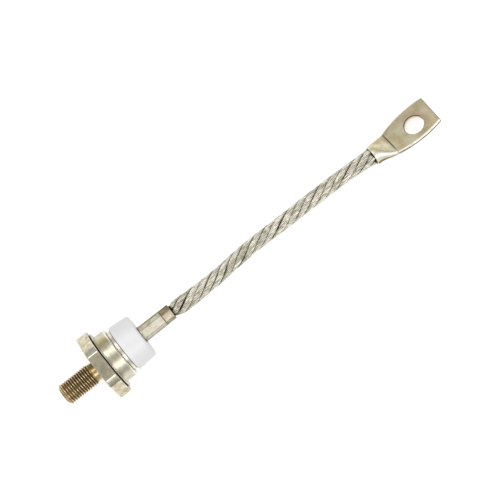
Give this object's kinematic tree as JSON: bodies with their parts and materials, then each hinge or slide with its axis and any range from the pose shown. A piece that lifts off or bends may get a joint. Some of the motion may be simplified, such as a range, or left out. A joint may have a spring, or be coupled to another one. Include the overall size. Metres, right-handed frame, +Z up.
{
  "type": "stud diode",
  "caption": "Stud-mounted power rectifier diode: hexagonal base with threaded stud, ceramic-sealed housing, crimped tube, and a stranded flexible lead ending in a flattened cable lug.",
  "frame": {"origin": "centre of the hexagon's seating face, on the stud's axis", "axes": "+X along the stud's axis from the stud towards the lead, +Z up as the part lies on one flat of its hexagon"},
  "size_m": [0.1866, 0.0294, 0.027],
  "materials": {
    "base_metal": "plated copper, dull, darker and browner on the stud",
    "ring_metal": "steel, dark in its groove",
    "cap_metal": "bright plated steel",
    "insulator": "unglazed alumina, near white",
    "tube_metal": "plated copper, crimped, satin",
    "lead_metal": "tinned copper strands",
    "lug_metal": "tinned copper tube, pressed flat, satin",
    "solder": "soft solder",
    "disc_metal": "ground molybdenum",
    "silicon": "polished silicon",
    "coating": "silicone rubber",
    "copper": "bare copper"
  },
  "bodies": {
    "root": {"stud_base": "base_metal", "weld_ring": "ring_metal", "base_solder": "solder", "lower_disc": "disc_metal", "silicon_wafer": "silicon", "edge_coating": "coating", "upper_disc": "disc_metal", "cup_solder": "solder", "contact_cup": "copper", "inner_lead": "copper", "cap_shell": "cap_metal", "seal_sleeve": "cap_metal", "ceramic_insulator": "insulator", "crimp_tube": "tube_metal", "lead_rope": "lead_metal", "cable_lug": "lug_metal"}
  },
  "joints": []
}
